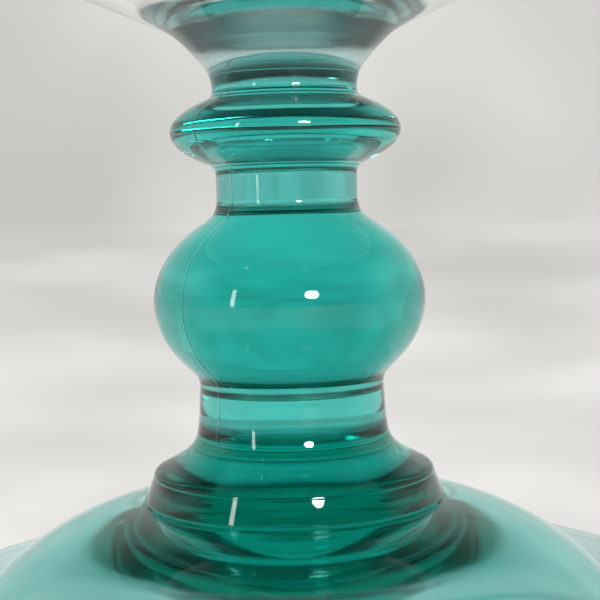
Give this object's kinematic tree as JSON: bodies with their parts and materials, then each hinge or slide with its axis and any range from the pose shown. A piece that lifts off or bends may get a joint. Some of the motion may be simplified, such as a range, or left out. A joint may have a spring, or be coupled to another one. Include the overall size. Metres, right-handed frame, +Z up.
{
  "type": "footed glass bowl",
  "caption": "Shallow clear glass bowl on a solid teal glass stem with ring and ball knops, a stepped disc and a hollow domed foot with a level flange.",
  "frame": {"origin": "centre of the flat ring that the foot stands on", "axes": "+Z up along the stem's axis, through the middle of the bowl; the shape is turned, so +X and +Y are free"},
  "size_m": [0.168, 0.168, 0.1482],
  "materials": {
    "clear_glass": "fire-polished, clear",
    "teal_glass": "fire-polished, teal through the body"
  },
  "bodies": {
    "root": {"bowl": "clear_glass", "bowl_wafer": "clear_glass", "top_neck": "teal_glass", "ring_knop": "teal_glass", "middle_neck": "teal_glass", "ball_knop": "teal_glass", "lower_neck": "teal_glass", "stepped_disc": "teal_glass", "foot_boss": "teal_glass", "foot": "teal_glass"}
  },
  "joints": []
}
